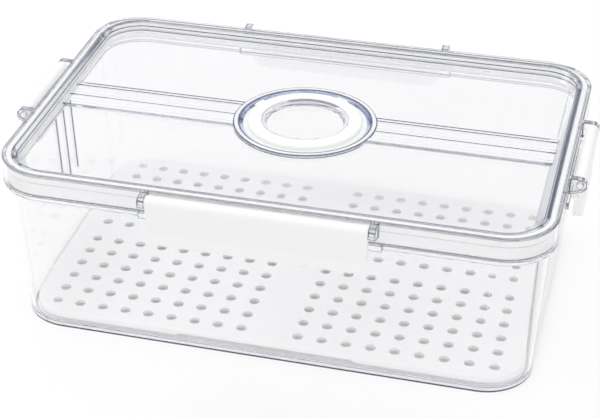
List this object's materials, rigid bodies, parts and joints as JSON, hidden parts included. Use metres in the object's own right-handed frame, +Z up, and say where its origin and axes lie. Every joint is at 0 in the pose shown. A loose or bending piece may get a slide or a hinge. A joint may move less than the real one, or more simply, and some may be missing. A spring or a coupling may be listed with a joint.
{
  "type": "fridge organizer bin",
  "caption": "Clear rectangular food bin with a perforated drain tray and a sealed clear lid that has hinged snap latches and a turning dial ring.",
  "frame": {"origin": "centre of the underside of the bin's base", "axes": "+X along the long side, towards the right in the picture; -Y towards the front; +Z up"},
  "size_m": [0.3196, 0.2218, 0.1017],
  "materials": {
    "clear_plastic": "clear, glossy, moulded",
    "white_plastic": "opaque white, satin gloss, moulded",
    "seal_silicone": "white silicone, soft sheen"
  },
  "bodies": {
    "bin": {"bin": "clear_plastic"},
    "tray": {"drain_tray": "white_plastic"},
    "lid": {"lid": "clear_plastic", "lid_gasket": "seal_silicone"},
    "dial": {"dial_ring": "white_plastic"},
    "front_latch": {"latch_front": "white_plastic"},
    "back_latch": {"latch_back": "white_plastic"},
    "left_latch": {"latch_left": "white_plastic"},
    "right_latch": {"latch_right": "white_plastic"}
  },
  "joints": [
    {"name": "lid_lift", "type": "slide", "parent": "bin", "child": "lid", "axis": [0, 0, 1], "range_m": [0, 0.15]},
    {"name": "tray_lift", "type": "slide", "parent": "bin", "child": "tray", "axis": [0, 0, 1], "range_m": [0, 0.08]},
    {"name": "dial_turn", "type": "hinge", "parent": "lid", "child": "dial", "pos_m": [0, 0, 0.09798], "axis": [0, 0, 1], "continuous": true},
    {"name": "front_latch_hinge", "type": "hinge", "parent": "lid", "child": "front_latch", "pos_m": [0, -0.1071, 0.0978], "axis": [-1, 0, 0], "range_deg": [0, 130]},
    {"name": "back_latch_hinge", "type": "hinge", "parent": "lid", "child": "back_latch", "pos_m": [0, 0.1071, 0.0978], "axis": [1, 0, 0], "range_deg": [0, 130]},
    {"name": "left_latch_hinge", "type": "hinge", "parent": "lid", "child": "left_latch", "pos_m": [-0.156, 0, 0.0978], "axis": [0, 1, 0], "range_deg": [0, 130]},
    {"name": "right_latch_hinge", "type": "hinge", "parent": "lid", "child": "right_latch", "pos_m": [0.156, 0, 0.0978], "axis": [0, -1, 0], "range_deg": [0, 130]}
  ]
}
